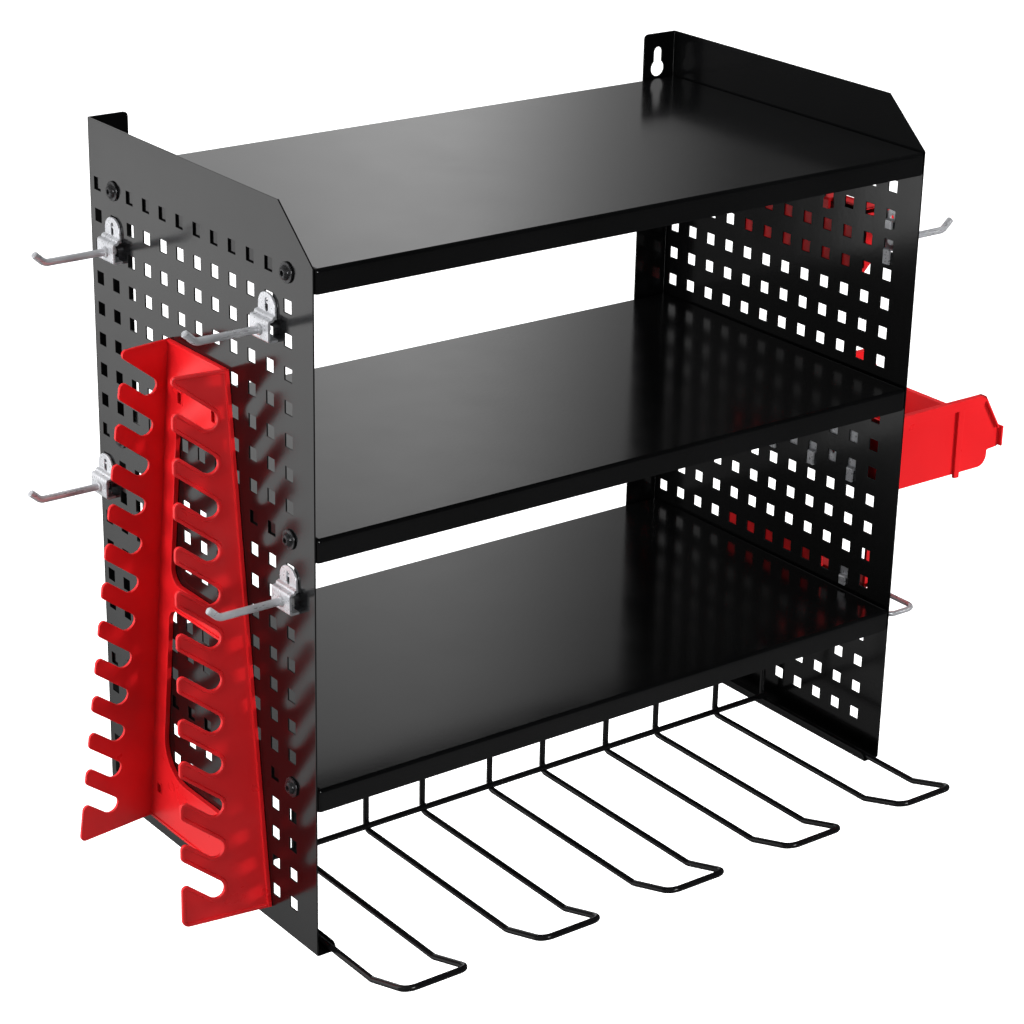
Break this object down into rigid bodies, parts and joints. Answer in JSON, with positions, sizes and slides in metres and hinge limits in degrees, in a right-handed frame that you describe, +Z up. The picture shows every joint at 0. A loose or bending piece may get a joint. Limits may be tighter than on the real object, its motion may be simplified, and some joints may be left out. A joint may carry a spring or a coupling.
{
  "type": "wall-hung power tool storage rack",
  "caption": "Wall-hung steel rack with perforated side panels, tray shelves, wire tool loops below, and lift-off hooks, wrench rack, parts bin and holders on the panels.",
  "frame": {"origin": "on the wall plane, midway between the two side panels, at the height of the upper ends of the keyhole slots", "axes": "+X across the rack towards the panel with the parts bin, +Y into the wall, +Z up; the open front faces -Y"},
  "size_m": [0.8084, 0.4177, 0.58],
  "materials": {
    "black_coat": "satin black powder coat with a fine orange-peel texture",
    "black_wire": "satin black powder coat on round wire",
    "dark_bolt": "glossy black-oxide steel fasteners",
    "zinc": "bright zinc plating",
    "red_plastic": "glossy moulded red plastic"
  },
  "bodies": {
    "root": {"left_panel": "black_coat", "right_panel": "black_coat", "shelf_top": "black_coat", "shelf_middle": "black_coat", "shelf_bottom": "black_coat", "bolt_top_left_back": "dark_bolt", "bolt_top_left_front": "dark_bolt", "bolt_middle_left_back": "dark_bolt", "bolt_middle_left_front": "dark_bolt", "bolt_bottom_left_back": "dark_bolt", "bolt_bottom_left_front": "dark_bolt", "bolt_top_right_back": "dark_bolt", "bolt_top_right_front": "dark_bolt", "bolt_middle_right_back": "dark_bolt", "bolt_middle_right_front": "dark_bolt", "bolt_bottom_right_back": "dark_bolt", "bolt_bottom_right_front": "dark_bolt", "nut_top_left_back": "dark_bolt", "nut_top_left_front": "dark_bolt", "nut_middle_left_back": "dark_bolt", "nut_middle_left_front": "dark_bolt", "nut_bottom_left_back": "dark_bolt", "nut_bottom_left_front": "dark_bolt", "nut_top_right_back": "dark_bolt", "nut_top_right_front": "dark_bolt", "nut_middle_right_back": "dark_bolt", "nut_middle_right_front": "dark_bolt", "nut_bottom_right_back": "dark_bolt", "nut_bottom_right_front": "dark_bolt", "tool_loop_1": "black_wire", "tool_loop_2": "black_wire", "tool_loop_3": "black_wire", "tool_loop_4": "black_wire", "tool_loop_5": "black_wire", "loop_cross_rod": "black_wire", "loop_hanger_strip": "black_coat"},
    "upper_back_hook": {"upper_back_hook_plate": "zinc", "upper_back_hook_rod": "zinc"},
    "upper_front_hook": {"upper_front_hook_plate": "zinc", "upper_front_hook_rod": "zinc"},
    "lower_back_hook": {"lower_back_hook_plate": "zinc", "lower_back_hook_rod": "zinc"},
    "lower_front_hook": {"lower_front_hook_plate": "zinc", "lower_front_hook_rod": "zinc"},
    "right_hook": {"right_hook_plate": "zinc", "right_hook_rod": "zinc"},
    "wrench_rack": {"wrench_rack": "red_plastic"},
    "bin_bracket": {"bin_bracket": "zinc"},
    "parts_bin": {"parts_bin": "red_plastic"},
    "tool_holder": {"tool_holder": "red_plastic"},
    "driver_rack": {"driver_rack": "red_plastic"},
    "ring_holder": {"ring_plate": "zinc", "ring_wire": "zinc"}
  },
  "joints": [
    {"name": "upper_back_hook_lift", "type": "slide", "parent": "root", "child": "upper_back_hook", "axis": [0, 0, 1], "range_m": [0, 0.007]},
    {"name": "upper_front_hook_lift", "type": "slide", "parent": "root", "child": "upper_front_hook", "axis": [0, 0, 1], "range_m": [0, 0.007]},
    {"name": "lower_back_hook_lift", "type": "slide", "parent": "root", "child": "lower_back_hook", "axis": [0, 0, 1], "range_m": [0, 0.007]},
    {"name": "lower_front_hook_lift", "type": "slide", "parent": "root", "child": "lower_front_hook", "axis": [0, 0, 1], "range_m": [0, 0.007]},
    {"name": "right_hook_lift", "type": "slide", "parent": "root", "child": "right_hook", "axis": [0, 0, 1], "range_m": [0, 0.007]},
    {"name": "wrench_rack_lift", "type": "slide", "parent": "root", "child": "wrench_rack", "axis": [0, 0, 1], "range_m": [0, 0.006]},
    {"name": "tool_holder_lift", "type": "slide", "parent": "root", "child": "tool_holder", "axis": [0, 0, 1], "range_m": [0, 0.006]},
    {"name": "driver_rack_lift", "type": "slide", "parent": "root", "child": "driver_rack", "axis": [0, 0, 1], "range_m": [0, 0.006]},
    {"name": "ring_holder_lift", "type": "slide", "parent": "root", "child": "ring_holder", "axis": [0, 0, 1], "range_m": [0, 0.007]},
    {"name": "bin_bracket_lift", "type": "slide", "parent": "root", "child": "bin_bracket", "axis": [0, 0, 1], "range_m": [0, 0.007]},
    {"name": "parts_bin_lift", "type": "slide", "parent": "bin_bracket", "child": "parts_bin", "axis": [0, 0, 1], "range_m": [0, 0.01]}
  ]
}
